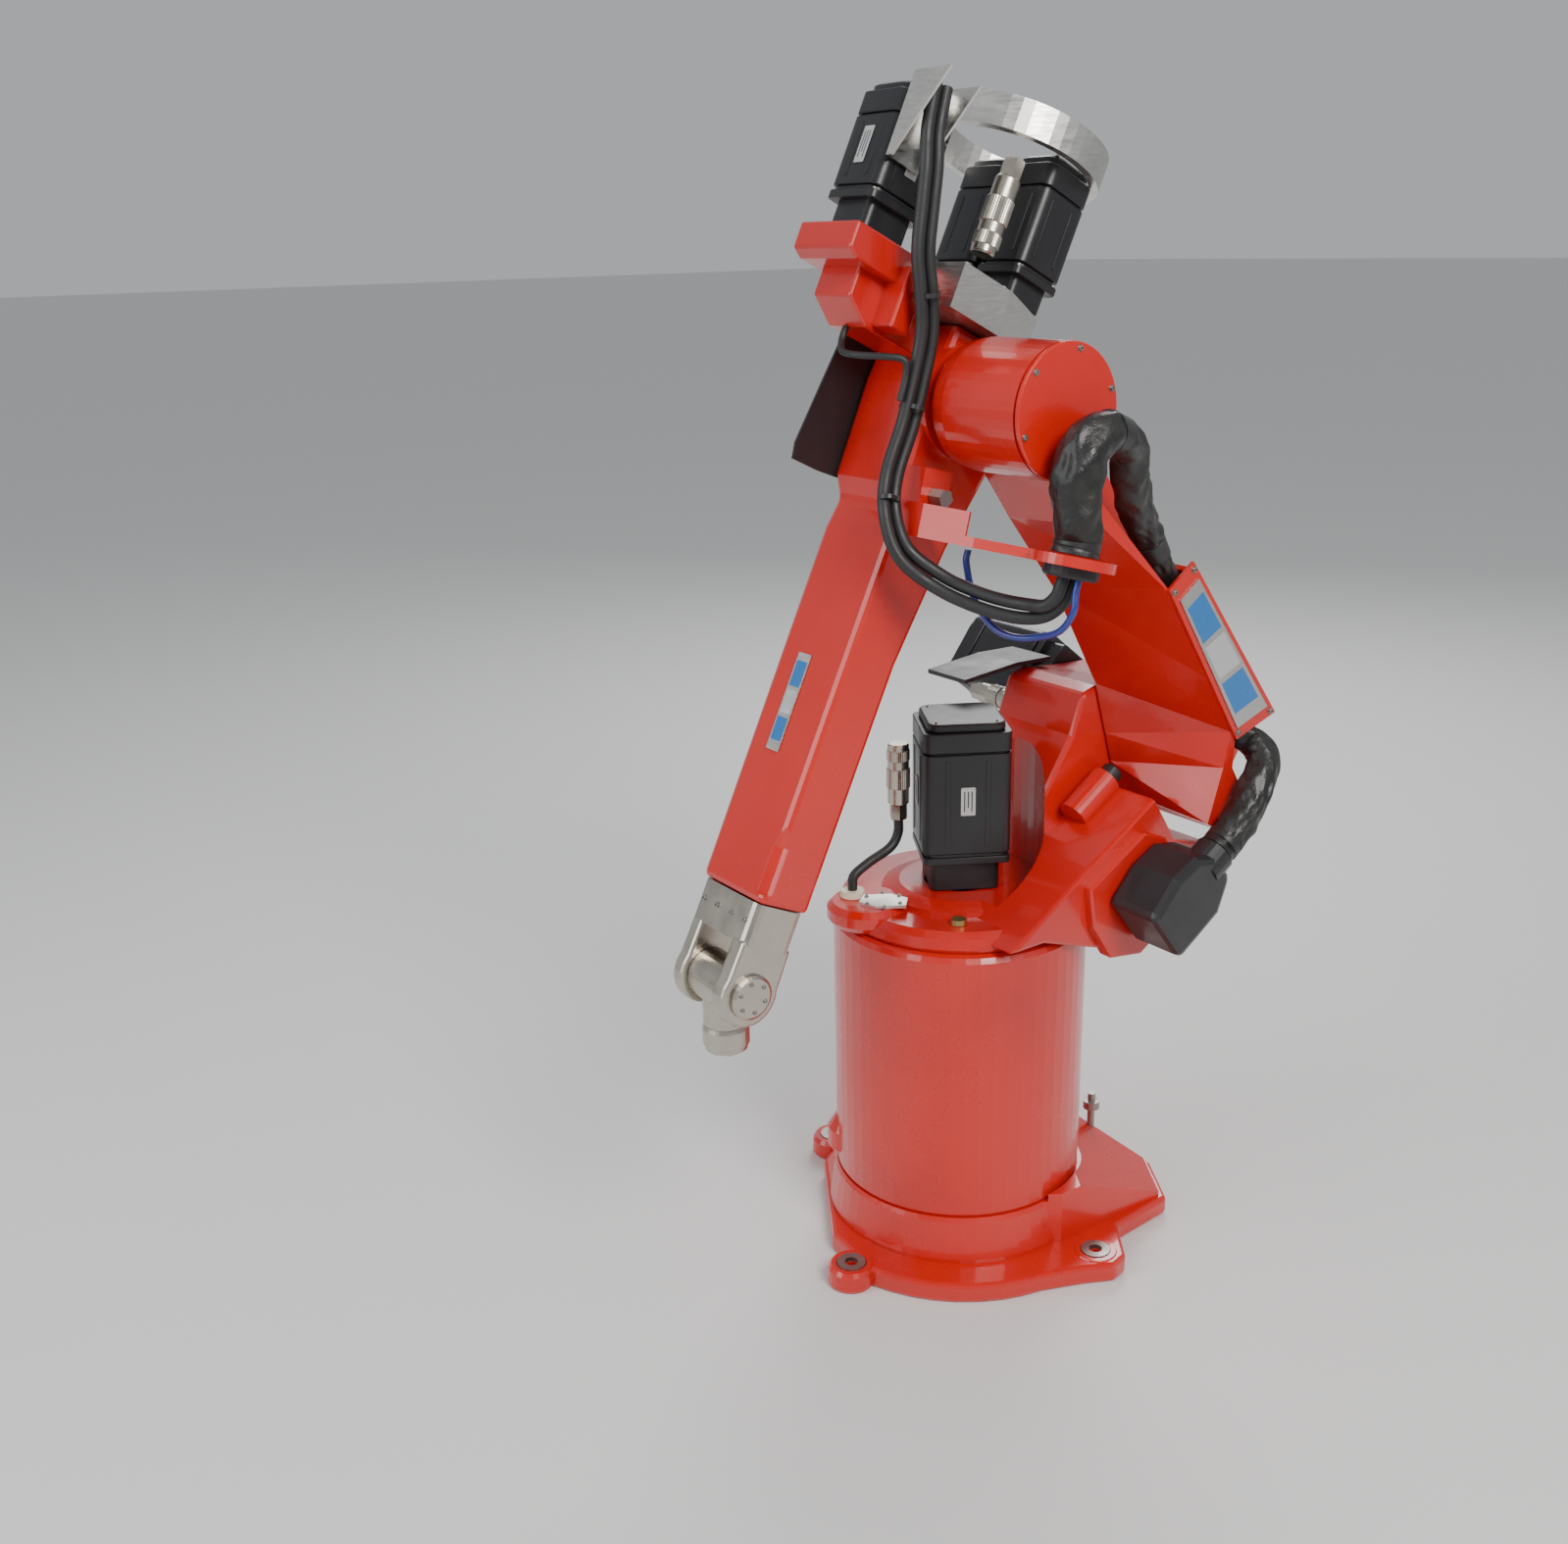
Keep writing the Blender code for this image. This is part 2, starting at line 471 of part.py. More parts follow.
# ---------------------------------------------------------------- lower arm, swings on axis 2
def build_lower_arm():
    frame = empty("a2_axis", (A2_X, 0.0, A2_Z), lean=ARM_LEAN)
    inner = [(-0.040, -0.072), (-0.088, -0.052), (-0.112, 0.006), (-0.084, 0.316), (-0.070, 0.414),
             (-0.050, 0.560), (0.034, 0.560), (0.028, 0.450), (0.014, 0.314), (0.022, 0.150),
             (0.044, 0.074), (0.057, 0.030), (0.066, -0.020), (0.050, -0.064)]
    outer = [(-0.040, -0.072), (-0.088, -0.052), (-0.116, 0.006), (-0.082, 0.316), (-0.070, 0.414),
             (-0.050, 0.560), (0.030, 0.560), (0.019, 0.450), (-0.028, 0.314), (-0.033, 0.150),
             (-0.033, 0.050), (0.002, 0.014), (0.064, -0.036), (0.050, -0.064)]
    arm = solid("lower_arm", mesh_prism(inner, ARM_Y0, ARM_Y1, "y", outer), RED, frame)
    shoulder = [(0.050, ELBOW_Y0), (0.066, ELBOW_Y0 + 0.006), (0.076, ELBOW_Y0 + 0.020),
                (ELBOW_R, ELBOW_Y0 + 0.040), (ELBOW_R, ARM_Y1 - 0.0010)]
    work(arm, mesh_turned(shoulder, "y", (0.0, 0.0, ARM_LENGTH), 48), "UNION")
    web = [(-0.094, 0.120), (-0.090, 0.290), (-0.062, 0.360), (-0.026, 0.340), (-0.026, 0.200),
           (-0.030, 0.130)]
    work(arm, mesh_prism(web, 0.036, 0.130, "y"), "UNION", bevel=0.006)
    channel = [(-0.150, -0.200), (-0.150, 0.002), (-0.078, 0.030), (-0.078, 0.296),
               (-0.150, 0.322), (-0.150, 0.524), (0.016, 0.524), (-0.034, 0.302), (-0.034, 0.032),
               (-0.012, 0.000), (-0.012, -0.200)]
    work(arm, mesh_prism(channel, 0.178, 0.300, "y"))
    work(arm, mesh_rod(0.060, 0.10, ARM_Y1 + 0.02, "y", (0.0, 0.0, ARM_LENGTH), 40))
    work(arm, mesh_rod(0.044, 0.06, 0.11, "y", (0.0, 0.0, ARM_LENGTH), 32))
    work(arm, mesh_rod(0.030, 0.06, 0.11, "y", (0.0, 0.0, 0.0), 32))
    work(arm, mesh_rod(ELBOW_R + 0.002, ARM_Y1 - 0.0030, ARM_Y1 + 0.02, "y", (0.0, 0.0, ARM_LENGTH),
                       48))
    solid("elbow_cap", mesh_turned([(ELBOW_R, ARM_Y1 + GAP), (ELBOW_R, ARM_Y1 + 0.004),
                                    (ELBOW_R - 0.0015, ARM_Y1 + 0.0055)], "y",
                                   (0.0, 0.0, ARM_LENGTH), 48), RED, frame)
    solid("a3_drive", mesh_turned([(0.0595, 0.1004), (0.0595, 0.226), (0.040, 0.236)], "y",
                                  (0.0, 0.0, ARM_LENGTH), 32), STEEL, frame)
    solid("a2_output_shaft", mesh_rod(0.0294, HUB_Y0 - 0.004, 0.1096, "y", segments=24),
          STEEL, frame)
    lid = [(-0.112, 0.014), (-0.083, 0.310), (-0.030, 0.308), (-0.034, 0.036)]
    solid("channel_cover", mesh_prism(lid, ARM_Y1 + GAP, ARM_Y1 + 0.005, "y"), RED, frame)
    badge = [(-0.101, 0.036), (-0.078, 0.286), (-0.038, 0.284), (-0.041, 0.052)]
    solid("lower_arm_badge", mesh_prism(badge, ARM_Y1 + 0.005 + GAP, ARM_Y1 + 0.0075, "y"),
          ALUMINIUM, frame)
    rise = [(0.0905, 0.267, -0.0524), (0.066, 0.267, -0.0526), (0.022, 0.271, -0.040),
            (-0.020, 0.268, -0.024), (-0.053, 0.256, -0.012), (-0.062, 0.232, 0.004),
            (-0.058, 0.213, 0.026), (-0.056, 0.209, 0.046)]
    girth = [(0.026, 0.026), (0.026, 0.026), (0.0255, 0.026), (0.024, 0.025), (0.023, 0.023),
             (0.0205, 0.022), (0.0195, 0.023), (0.019, 0.024)]
    solid("lower_boot", mesh_sleeve(rise, girth), RUBBER, frame)
    over = [(0.1047, 0.286, 0.4886), (0.0898, 0.286, 0.5019), (0.074, 0.286, 0.530),
            (0.054, 0.286, 0.562), (0.024, 0.286, 0.582), (-0.010, 0.285, 0.574),
            (-0.032, 0.277, 0.534), (-0.034, 0.256, 0.484), (-0.040, 0.234, 0.424),
            (-0.053, 0.216, 0.356), (-0.056, 0.209, 0.296)]
    girth = [(0.0285, 0.0285), (0.0285, 0.0285), (0.0285, 0.029), (0.031, 0.031),
             (0.030, 0.031), (0.025, 0.028), (0.022, 0.025), (0.022, 0.024), (0.0215, 0.024),
             (0.0195, 0.024), (0.019, 0.024)]
    solid("upper_boot", mesh_sleeve(over, girth), RUBBER, frame)


# ---------------------------------------------------------------- forearm, swings on axis 3
def build_forearm():
    frame = empty("a3_axis", ELBOW, lean=FOREARM_LEAN)
    end = -FOREARM_REACH + TUBE_END
    front = TUBE_HALF_X
    side = [(front, end), (front, -0.190), (front - 0.006, -0.150), (front + 0.012, -0.124),
            (front + 0.016, 0.0), (front + 0.010, 0.079), (-0.066, 0.079), (-0.076, 0.060),
            (-0.080, -0.060), (-0.056, -0.170), (-front, -0.330), (-front, end)]
    tube = solid("forearm_casting", mesh_prism(side, -TUBE_HALF_Y, TUBE_HALF_Y, "y"),
                 RED, frame, 0.008)
    work(tube, mesh_rod(0.070, TUBE_HALF_Y - 0.01, ELBOW_Y0 - 0.002, "y", segments=40), "UNION")
    work(tube, mesh_rod(BORE_R, end - 0.02, 0.20, segments=28))
    work(tube, mesh_rod(0.0445, 0.045, 0.12, "y", segments=32))
    pocket = Matrix.Translation((front + 0.004, TUBE_HALF_Y + 0.004, 0.0))
    work(tube, mesh_turned([(0.020, end + 0.012), (0.020, end + 0.075), (0.004, end + 0.115)],
                           segments=20), place=pocket)
    solid("a3_output_flange", mesh_rod(0.0435, 0.0455, 0.0995, "y", segments=32), STEEL, frame)
    bar = end + 0.004
    solid("forearm_badge", mesh_box((front + GAP, -0.025, -0.480), (front + 0.0022, 0.001, -0.352)),
          ALUMINIUM, frame)
    solid("a4_drive_tube", mesh_pipe(0.0275, 0.0235, bar, 0.0794, segments=28), STEEL, frame)
    solid("a5_drive_tube", mesh_pipe(0.0195, 0.0155, bar, 0.0794, segments=24), STEEL, frame)
    solid("a6_drive_shaft", mesh_rod(0.0115, bar, 0.0794, segments=20), STEEL, frame)
    sheet = [(-0.040, -0.120), (0.078, -0.130), (0.120, -0.130), (0.124, -0.110), (0.108, 0.046),
             (0.070, 0.050), (-0.030, 0.040)]
    solid("side_plate", mesh_prism(sheet, -TUBE_HALF_Y - 0.0036, -TUBE_HALF_Y - GAP, "y"),
          BLACK, frame)
    build_elbow_bracket(frame)
    build_rear_drives(frame)
    build_forearm_cables(frame)


def bracket_lay():
    """The cable bracket stands a little off square to the forearm."""
    pivot = Matrix.Translation((0.030, 0.0, -0.174))
    return pivot @ Matrix.Rotation(math.radians(BRACKET_TILT), 4, "Y") @ pivot.inverted()


def build_elbow_bracket(frame):
    """The arm that reaches across under the elbow and ends in the round cable plate."""
    low, high = BRACKET_Z
    x, y = PLATE_X, PLATE_Y
    lay = bracket_lay()
    root = TUBE_HALF_Y + GAP
    plan = [(-0.014, root), (0.050, root), (0.046, 0.120), (0.020, 0.190), (x + 0.036, y - 0.032),
            (x - 0.036, y - 0.032), (-0.050, 0.190), (-0.026, 0.120)]
    bracket = solid("cable_bracket", mesh_prism(plan, low, high, "z"), RED, frame, place=lay)
    work(bracket, mesh_rod(0.050, low, high, centre=(x, y, 0.0), segments=36), "UNION", lay)
    web = [(0.042, root), (0.050, root), (0.046, 0.120), (0.024, 0.178), (0.018, 0.174),
           (0.039, 0.118)]
    work(bracket, mesh_prism(web, low + 0.007, low + 0.040, "z"), "UNION", lay)
    block = mesh_box((-0.004, root, low + 0.004), (0.040, 0.104, -0.096))
    work(bracket, block, "UNION", lay)
    work(bracket, mesh_rod(0.030, low - 0.02, low + 0.06, centre=(x, y, 0.0), segments=32),
         place=lay)
    gland = [(0.033, low - GAP), (0.033, low - 0.010), (0.030, low - 0.013), (0.022, low - 0.013),
             (0.022, high - 0.001), (0.0294, high - 0.001), (0.0294, low - GAP)]
    solid("cable_gland", mesh_turned(gland, centre=(x, y, 0.0), segments=28, ring=True), RUBBER,
          frame, place=lay)
    solid("stop_bolt", mesh_rod(0.011, 0.104 + GAP, 0.126, "y", (0.018, 0.0, -0.128), 6),
          STEEL, frame, place=lay)


def build_rear_drives(frame):
    """The gear plate, the two motors under the ring and the one on its bracket in front."""
    low, top = 0.080, 0.134
    half = [(0.098, 0.100), (0.015, 0.100), (-0.066, 0.068), (-0.104, 0.022)]
    plate = solid("gear_plate", mesh_prism(half + [(x, -y) for x, y in reversed(half)], low, top,
                                           "z"), ALUMINIUM, frame)
    work(plate, mesh_rod(0.032, low - 0.01, low + 0.02, segments=28))
    edge = 0.0985
    shelf = [(edge, 0.088), (0.208, 0.088), (0.222, 0.096), (0.222, 0.128), (edge, 0.128)]
    bracket = solid("motor_bracket", mesh_prism(shelf, -0.066, 0.046, "y"), RED, frame, 0.003)
    foot = [(0.058, 0.030), (0.150, 0.030), (0.186, 0.054), (0.186, 0.094), (edge, 0.094),
            (edge, 0.0755), (0.058, 0.0755)]
    work(bracket, mesh_prism(foot, -0.046, 0.026, "y"), "UNION", bevel=0.003)
    side = mesh_prism([(0.112, 0.036), (0.142, 0.036), (0.142, 0.110), (0.112, 0.110)],
                      -0.030, 0.062, "y")
    work(bracket, side, "UNION", bevel=0.003)
    for name, y in (("a5_motor", 0.0445), ("a6_motor", -0.0445)):
        servo(name, frame, Matrix.Translation((-0.032, y, top + GAP)), 0.039, 0.1668, 0.030, 0.030)
    servo("a4_motor", frame, Matrix.Translation((0.169, -0.006, 0.128 + GAP)),
          0.044, 0.162, 0.034, 0.034)
    solid("rear_ring", mesh_pipe(0.113, 0.101, 0.302, 0.342, segments=48), ALUMINIUM, frame)
    solid("a5_connector", mesh_turned([(0.013, 0.166), (0.0165, 0.172), (0.0165, 0.222),
                                       (0.018, 0.226), (0.018, 0.262), (0.010, 0.284)],
                                      centre=(0.046, 0.060, 0.0), segments=20), NICKEL, frame)
    wing = [(0.042, 0.208), (0.052, 0.208), (0.104, 0.308), (0.042, 0.308)]
    hood = solid("cable_hood", mesh_prism(wing, 0.163, 0.166, "x"), ALUMINIUM, frame)
    work(hood, mesh_prism(wing, 0.211, 0.214, "x"), "UNION")
    work(hood, mesh_box((0.163, 0.042, 0.208), (0.214, 0.045, 0.308)), "UNION")


def beside(route, aside):
    """The same route moved sideways, square to itself and to the elbow axis."""
    moved = []
    for i, spot in enumerate(route):
        ahead = route[min(i + 1, len(route) - 1)] - route[max(i - 1, 0)]
        side = Vector((-ahead.z, 0.0, ahead.x)).normalized()
        moved.append(spot + side * aside)
    return moved


def build_forearm_cables(frame):
    """Two motor leads clipped down the housing to the gland, and the looped air hose."""
    entry = bracket_lay() @ Vector((PLATE_X, PLATE_Y, BRACKET_Z[0] - 0.003))
    route = [(0.190, 0.066, 0.300), (0.186, 0.074, 0.250), (0.175, 0.080, 0.210),
             (0.163, 0.082, 0.168), (0.148, 0.083, 0.122), (0.124, 0.084, 0.082),
             (0.104, 0.083, 0.045), (0.0925, 0.081, 0.000), (0.084, 0.081, -0.060),
             (0.083, 0.083, -0.120), (0.076, 0.094, -0.164), (0.052, 0.114, -0.204),
             (0.010, 0.146, -0.222), (-0.020, 0.190, -0.228), (-0.042, 0.232, -0.226),
             (-0.052, 0.264, -0.218), (-0.0525, 0.281, -0.202), (entry.x - 0.001, entry.y, -0.186),
             tuple(entry)]
    line = smooth_route(route, 3)
    for name, aside in (("motor_lead_front", 0.0084), ("motor_lead_rear", -0.0084)):
        cable(name, beside(line, aside), 0.0078, BLACK, frame, 1)
    loop = [(-0.012, 0.150, -0.1735), (-0.016, 0.151, -0.190), (-0.040, 0.160, -0.226),
            (-0.060, 0.186, -0.250), (-0.070, 0.216, -0.254), (-0.074, 0.250, -0.246),
            (-0.068, 0.284, -0.234), (-0.058, 0.303, -0.212), (-0.052, 0.302, -0.190),
            (entry.x, entry.y + 0.0155, entry.z)]
    cable("air_hose", loop, 0.0042, HOSE, frame, 4)
    link = [(0.150, -0.010, 0.0295), (0.152, -0.006, 0.010), (0.158, 0.012, -0.004),
            (0.156, 0.040, -0.006), (0.140, 0.066, 0.000), (0.122, 0.082, 0.004),
            (0.1120, 0.0825, -0.012), (0.108, 0.0825, -0.040)]
    cable("a4_lead", link, 0.0042, BLACK, frame, 3)


# ---------------------------------------------------------------- wrist, axes 4, 5 and 6
def build_wrist():
    roll = empty("a4_axis", WRIST, lean=FOREARM_LEAN)
    top = TUBE_END - 0.0006
    fork = solid("wrist_fork", mesh_prism(rounded_box(0.038, 0.062, 0.012), 0.062, top, "z"),
                 NICKEL, roll)
    for low, high in ((0.0345, 0.060), (-0.056, -0.0345)):
        cheek = [(CHEEK_R * 0.9, 0.068)] + arc((0.0, 0.0), CHEEK_R, 20, -200, 14)
        cheek.append((-CHEEK_R * 0.9, 0.068))
        work(fork, mesh_prism(cheek, low, high, "y"), "UNION", bevel=0.004)
    work(fork, mesh_rod(0.024, 0.03, 0.13, segments=24))
    work(fork, mesh_rod(0.0155, -0.07, 0.07, "y", segments=24))
    cover = [(0.030, 0.060 + GAP), (0.030, 0.0645), (0.026, 0.067)]
    solid("wrist_cover", mesh_turned(cover, "y", segments=28), NICKEL, roll)

    bend = empty("a5_axis", WRIST)
    hand = solid("hand", mesh_rod(0.034, -0.0335, 0.0335, "y", segments=36), ALUMINIUM, bend)
    work(hand, mesh_rod(0.0145, -0.055, 0.0595, "y", segments=24), "UNION")
    work(hand, mesh_turned([(0.029, 0.0), (0.029, -0.058)], segments=32), "UNION")

    tool = empty("a6_axis", WRIST)
    flange = [(0.029, -0.0586), (0.031, -0.064), (0.031, -0.086), (0.028, -0.088),
              (0.028, -HAND_DROP)]
    solid("tool_flange", mesh_turned(flange, segments=36), ALUMINIUM, tool)


def main():
    for old in list(bpy.data.objects):
        bpy.data.objects.remove(old, do_unlink=True)
    build_base()
    build_column()
    build_lower_arm()
    build_forearm()
    build_wrist()


main()
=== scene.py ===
"""Visual model of the six-axis arm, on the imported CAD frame."""
import json
import math

import bmesh
import bpy
from mathutils import Matrix, Vector

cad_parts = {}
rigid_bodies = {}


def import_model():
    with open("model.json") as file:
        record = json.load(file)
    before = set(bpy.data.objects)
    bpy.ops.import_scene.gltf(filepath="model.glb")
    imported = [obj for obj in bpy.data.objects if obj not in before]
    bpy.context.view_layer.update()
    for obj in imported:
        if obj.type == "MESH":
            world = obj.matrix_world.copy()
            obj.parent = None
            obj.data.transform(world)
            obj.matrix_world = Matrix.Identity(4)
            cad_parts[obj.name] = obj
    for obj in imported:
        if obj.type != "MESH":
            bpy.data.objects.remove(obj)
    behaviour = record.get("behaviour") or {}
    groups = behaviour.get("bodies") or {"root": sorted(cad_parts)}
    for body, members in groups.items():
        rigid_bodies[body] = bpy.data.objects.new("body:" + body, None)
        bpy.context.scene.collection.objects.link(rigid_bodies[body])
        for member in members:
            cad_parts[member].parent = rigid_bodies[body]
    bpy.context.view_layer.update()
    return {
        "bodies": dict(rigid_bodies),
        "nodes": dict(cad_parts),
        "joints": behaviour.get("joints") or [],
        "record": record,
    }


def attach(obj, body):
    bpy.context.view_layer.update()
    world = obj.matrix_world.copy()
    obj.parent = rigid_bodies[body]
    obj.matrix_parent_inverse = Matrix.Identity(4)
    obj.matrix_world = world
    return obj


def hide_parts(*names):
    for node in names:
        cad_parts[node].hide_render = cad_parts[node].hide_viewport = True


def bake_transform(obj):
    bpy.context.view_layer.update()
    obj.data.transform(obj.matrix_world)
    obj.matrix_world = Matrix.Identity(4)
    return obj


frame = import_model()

NODES = frame["nodes"]

A2 = Vector((-0.27, 0.0, 0.70))
ELBOW = Vector((0.0607, 0.0, 1.2054))
WRIST = Vector((0.402307, 0.0, 0.501951))
ARM = math.radians(33.2)
FORE = math.radians(-25.9)


# ------------------------------------------------------------ materials
class Shader:
    """A Principled material with a few procedural layers."""

    def __init__(self, name, colour, roughness, metallic=0.0, **extra):
        self.material = bpy.data.materials.new(name)
        self.material.use_nodes = True
        self.tree = self.material.node_tree
        self.shader = self.tree.nodes["Principled BSDF"]
        self.set("Base Color", (*colour, 1.0))
        self.set("Roughness", roughness)
        self.set("Metallic", metallic)
        for socket, value in extra.items():
            self.set(socket.replace("_", " "), value)
        self.coords = self.tree.nodes.new("ShaderNodeTexCoord").outputs["Object"]
        self.height = None

    def set(self, socket, value):
        self.shader.inputs[socket].default_value = value

    def noise(self, scale, detail=4.0, stretch=None, roughness=0.55):
        node = self.tree.nodes.new("ShaderNodeTexNoise")
        node.inputs["Scale"].default_value = scale
        node.inputs["Detail"].default_value = detail
        node.inputs["Roughness"].default_value = roughness
        source = self.coords
        if stretch:
            mapping = self.tree.nodes.new("ShaderNodeMapping")
            mapping.inputs["Scale"].default_value = stretch
            self.tree.links.new(source, mapping.inputs["Vector"])
            source = mapping.outputs["Vector"]
        self.tree.links.new(source, node.inputs["Vector"])
        return node.outputs["Fac"]

    def ramp(self, source, stops):
        node = self.tree.nodes.new("ShaderNodeValToRGB")
        ramp = node.color_ramp
        while len(ramp.elements) < len(stops):
            ramp.elements.new(0.5)
        for element, (place, colour) in zip(ramp.elements, stops):
            element.position = place
            element.color = (*colour, 1.0) if hasattr(colour, "__len__") else (colour,) * 3 + (1.0,)
        self.tree.links.new(source, node.inputs["Fac"])
        return node.outputs["Color"]

    def colour(self, scale, stops, **noise):
        self.tree.links.new(self.ramp(self.noise(scale, **noise), stops), self.shader.inputs["Base Color"])
        return self

    def rough(self, scale, low, high, **noise):
        out = self.ramp(self.noise(scale, **noise), [(0.3, low), (0.7, high)])
        self.tree.links.new(out, self.shader.inputs["Roughness"])
        return self

    def bump(self, scale, strength, distance, **noise):
        node = self.tree.nodes.new("ShaderNodeBump")
        node.inputs["Strength"].default_value = strength
        node.inputs["Distance"].default_value = distance
        self.tree.links.new(self.noise(scale, **noise), node.inputs["Height"])
        if self.height:
            self.tree.links.new(self.height, node.inputs["Normal"])
        self.height = node.outputs["Normal"]
        self.tree.links.new(self.height, self.shader.inputs["Normal"])
        return self


ENAMEL = (Shader("enamel", (0.60, 0.008, 0.003), 0.26, Coat_Weight=0.6, Coat_Roughness=0.08)
          .colour(3.2, [(0.25, (0.46, 0.006, 0.003)), (0.5, (0.60, 0.009, 0.003)),
                        (0.80, (0.66, 0.014, 0.005))], detail=7.0)
          .rough(9.0, 0.22, 0.40).bump(60.0, 0.12, 0.002).bump(420.0, 0.10, 0.0006)).material
CAST_BLACK = (Shader("black_satin", (0.016, 0.016, 0.018), 0.42, Coat_Weight=0.15)
              .rough(22.0, 0.34, 0.52).bump(300.0, 0.12, 0.0005)).material
MOTOR = (Shader("motor_black", (0.014, 0.014, 0.016), 0.36)
         .rough(16.0, 0.28, 0.46).bump(500.0, 0.10, 0.0004)).material
BRUSHED = (Shader("brushed_aluminium", (0.66, 0.65, 0.62), 0.34, 1.0)
           .rough(40.0, 0.26, 0.46, stretch=(1, 1, 8)).bump(180.0, 0.06, 0.0004, stretch=(1, 1, 10))).material
NICKEL = (Shader("nickel", (0.50, 0.46, 0.40), 0.30, 1.0)
          .rough(30.0, 0.22, 0.42).bump(250.0, 0.05, 0.0004)).material
STEEL = (Shader("steel", (0.36, 0.35, 0.33), 0.42, 1.0)
         .rough(28.0, 0.32, 0.55).bump(220.0, 0.08, 0.0004)).material
RUBBER = (Shader("cable_rubber", (0.018, 0.018, 0.019), 0.48)
          .rough(60.0, 0.40, 0.60).bump(260.0, 0.10, 0.0004)).material
HOSE = Shader("hose_blue", (0.015, 0.03, 0.24), 0.30, Coat_Weight=0.3).rough(40.0, 0.24, 0.40).material
BLUE = Shader("badge_blue", (0.015, 0.16, 0.45), 0.32, Coat_Weight=0.4).rough(30.0, 0.26, 0.40).material
SILVER = Shader("badge_silver", (0.70, 0.70, 0.70), 0.34, 0.7).rough(60.0, 0.28, 0.44).material
BRASS = Shader("brass", (0.55, 0.42, 0.16), 0.34, 1.0).rough(40.0, 0.26, 0.46).material
CREAM = Shader("plate_cream", (0.75, 0.68, 0.50), 0.50).rough(30.0, 0.44, 0.60).material
LABEL = Shader("label_grey", (0.50, 0.50, 0.49), 0.42, 0.3).rough(50.0, 0.36, 0.50).material
LEATHER = (Shader("leather", (0.015, 0.014, 0.013), 0.42, Coat_Weight=0.15)
           .colour(14.0, [(0.30, (0.008, 0.008, 0.008)), (0.58, (0.016, 0.015, 0.014)),
                          (0.80, (0.060, 0.054, 0.048))], detail=8.0, roughness=0.7)
           .rough(18.0, 0.28, 0.56).bump(45.0, 0.6, 0.006, detail=7.0)
           .bump(320.0, 0.35, 0.0012, detail=3.0)).material
BAND = Shader("band", (0.022, 0.022, 0.023), 0.4).rough(50.0, 0.32, 0.5).material


FINISHES = {
    ENAMEL: ("base_casting", "column_shell", "shoulder_casting", "lower_arm", "elbow_cap",
             "channel_cover", "forearm_casting", "cable_bracket", "motor_bracket"),
    CAST_BLACK: ("side_plate", "a2_cable_tray", "cable_cover"),
    BRUSHED: ("inspection_plate", "lower_arm_badge", "forearm_badge", "gear_plate", "rear_ring",
              "cable_hood"),
    NICKEL: ("a1_connector", "a2_connector", "a5_connector", "wrist_fork", "wrist_cover", "hand",
             "tool_flange"),
    RUBBER: ("cable_gland", "stop_bumper", "a1_motor_cable", "motor_lead_front",
             "motor_lead_rear", "a4_lead"),
    MOTOR: ("a1_motor", "a2_motor", "a4_motor", "a5_motor", "a6_motor"),
    LEATHER: ("lower_boot", "upper_boot"), CREAM: ("cable_bush",), BRASS: ("oil_plug",), HOSE: ("air_hose",),
}
GIVEN = {name: finish for finish, names in FINISHES.items() for name in names}
for name, node in NODES.items():
    for index in range(len(node.data.materials)):
        node.data.materials[index] = GIVEN.get(name, STEEL)


# ------------------------------------------------------------ frames and shapes
def lay(origin, lean):
    """A frame at the origin, turned by the lean about the elbow axis' direction."""
    return Matrix.Translation(origin) @ Matrix.Rotation(lean, 4, "Y")


FLOOR = Matrix.Identity(4)
ARM_FRAME = lay(A2, ARM)
FOREARM = lay(ELBOW, FORE)
WRIST_FRAME = lay(WRIST, FORE)
HAND = lay(WRIST, 0.0)
PIVOT = Matrix.Translation((0.030, 0.0, -0.174))
BRACKET = PIVOT @ Matrix.Rotation(math.radians(11.0), 4, "Y") @ PIVOT.inverted()


def piece(name, maker, material, body, angle=35.0):
    """A mesh piece in world coordinates, riding on the body unless there is none."""
    mesh = bpy.data.meshes.new(name)
    bmesh.ops.recalc_face_normals(maker, faces=maker.faces)
    maker.to_mesh(mesh)
    maker.free()
    mesh.shade_smooth()
    mesh.set_sharp_from_angle(angle=math.radians(angle))
    mesh.materials.append(material)
    made = bpy.data.objects.new(name, mesh)
    bpy.context.scene.collection.objects.link(made)
    if body:
        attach(made, body)
    return made


def skin(maker, rings, closed=False, place=FLOOR):
    """Rings of points joined into one skin, with filled ends unless it closes on itself."""
    rows = [[maker.verts.new(place @ Vector(p)) for p in ring] for ring in rings]
    count = len(rows[0])
    pairs = list(zip(rows, rows[1:])) + ([(rows[-1], rows[0])] if closed else [])
    for a, b in pairs:
        for i in range(count):
            j = (i + 1) % count
            maker.faces.new((a[i], a[j], b[j], b[i]))
    if not closed:
        maker.faces.new(rows[0])
        maker.faces.new(rows[-1])


def turned(maker, profile, place=FLOOR, sides=40):
    """A profile of (radius, height) turned about the frame's own z axis."""
    rings = []
    for radius, height in profile:
        rings.append([(radius * math.cos(2 * math.pi * i / sides), radius * math.sin(2 * math.pi * i / sides),
                       height) for i in range(sides)])
    skin(maker, rings, place=place)


def rounded(half_x, half_y, corner, steps=4):
    points = []
    for quarter in range(4):
        sx, sy = ((1, 1), (-1, 1), (-1, -1), (1, -1))[quarter]
        for i in range(steps + 1):
            a = math.radians(90 * quarter + 90 * i / steps)
            points.append((sx * (half_x - corner) + corner * math.cos(a),
                           sy * (half_y - corner) + corner * math.sin(a)))
    return points


